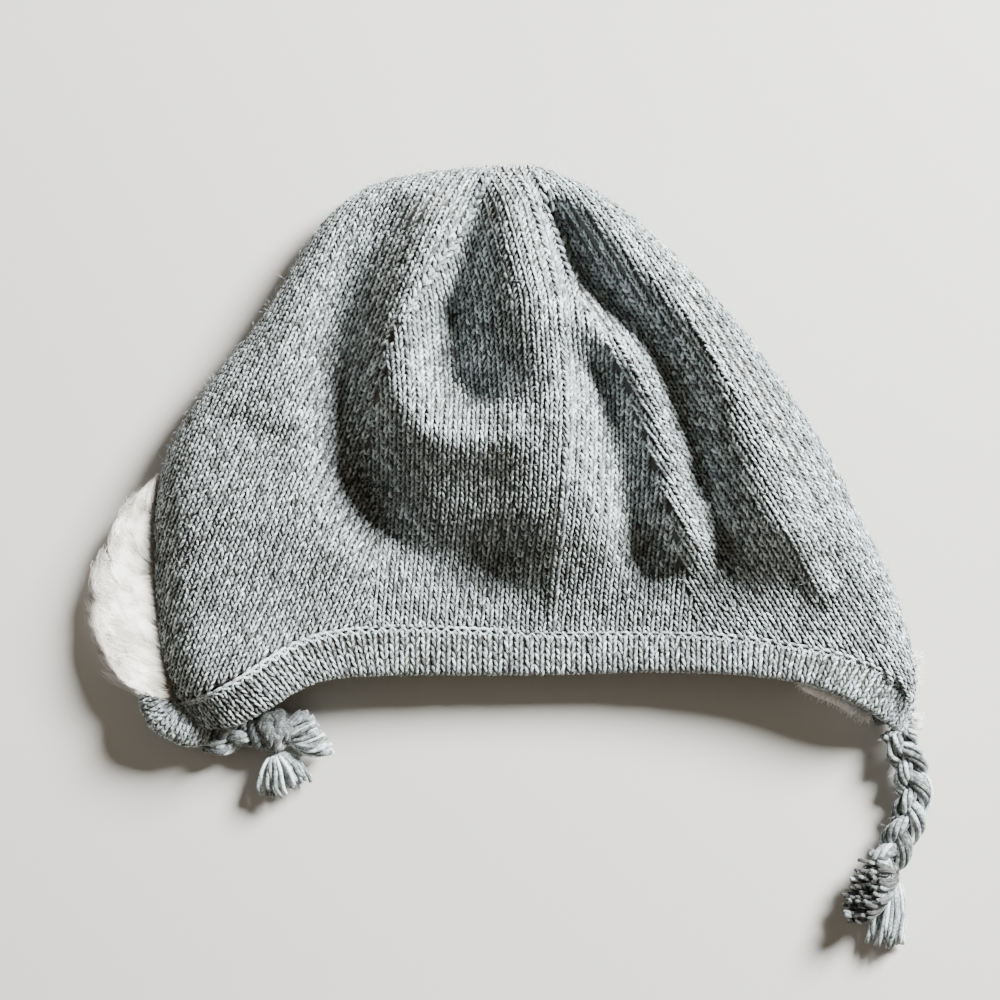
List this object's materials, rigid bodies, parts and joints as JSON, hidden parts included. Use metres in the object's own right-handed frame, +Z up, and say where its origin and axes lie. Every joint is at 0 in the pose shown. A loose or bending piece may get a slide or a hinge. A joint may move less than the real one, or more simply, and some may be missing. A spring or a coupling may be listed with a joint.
{
  "type": "baby hat with ear flaps",
  "caption": "Knitted baby hat with ear flaps and plaited ties, plush lined, lying flat with its back up and one flap turned out.",
  "frame": {"origin": "on the flat underside that the hat lies on, below the foot of the back seam's straight part", "axes": "+X to the hat's right as it lies with its back up, +Y towards the crown top, +Z up from the table"},
  "size_m": [0.2356, 0.2219, 0.0385],
  "materials": {
    "knit": "matte marled grey cotton jersey, a light and a dark grey fibre twisted together",
    "rib": "matte grey folded rib of the same yarn",
    "plush": "off-white long-pile plush",
    "yarn": "matte grey cotton yarn"
  },
  "bodies": {
    "root": {"knit_shell": "knit", "plush_lining": "plush", "edge_band": "rib", "left_tie_plait": "yarn", "left_tie_knot": "yarn", "left_tassel": "yarn", "right_tie_plait": "yarn", "right_tassel": "yarn"}
  },
  "joints": []
}
